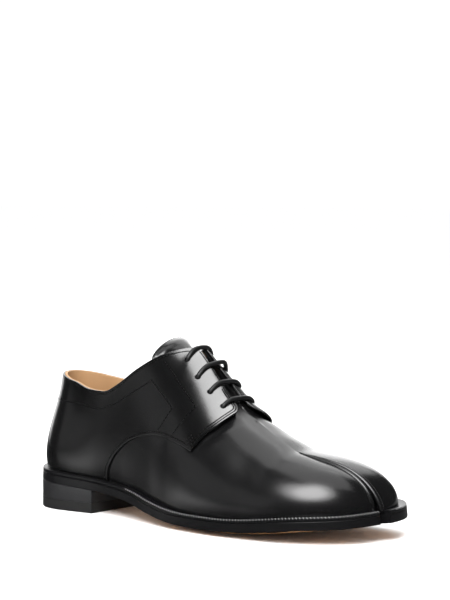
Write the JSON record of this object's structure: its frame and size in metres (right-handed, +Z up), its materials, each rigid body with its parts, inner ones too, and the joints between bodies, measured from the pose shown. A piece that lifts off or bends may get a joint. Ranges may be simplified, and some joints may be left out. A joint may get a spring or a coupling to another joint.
{
  "type": "split-toe derby shoe",
  "caption": "Black leather split-toe derby shoe for the right foot, hollow from collar to toe, laced over a high tongue, on a welted leather sole with a low stacked heel.",
  "frame": {"origin": "middle of the shoe's box, on the floor under the sole", "axes": "+X from heel to toe, +Y to the inner side of the foot, +Z up"},
  "size_m": [0.2904, 0.1024, 0.1217],
  "materials": {
    "black_calf": "polished black calf",
    "sole_leather": "brown sole leather with a black edge",
    "edge_leather": "black waxed edge",
    "heel_leather": "black waxed heel stack",
    "lift_rubber": "matt black rubber",
    "lining_leather": "tan lining leather",
    "waxed_cord": "waxed black round lace"
  },
  "bodies": {
    "root": {"outsole": "sole_leather", "welt": "edge_leather", "heel_stack": "heel_leather", "heel_top_lift": "lift_rubber", "insole": "lining_leather", "upper": "black_calf", "quarters": "black_calf", "tongue": "black_calf", "lace_bar_1": "waxed_cord", "lace_bar_2": "waxed_cord", "lace_bar_3": "waxed_cord", "lace_bar_4": "waxed_cord"}
  },
  "joints": []
}
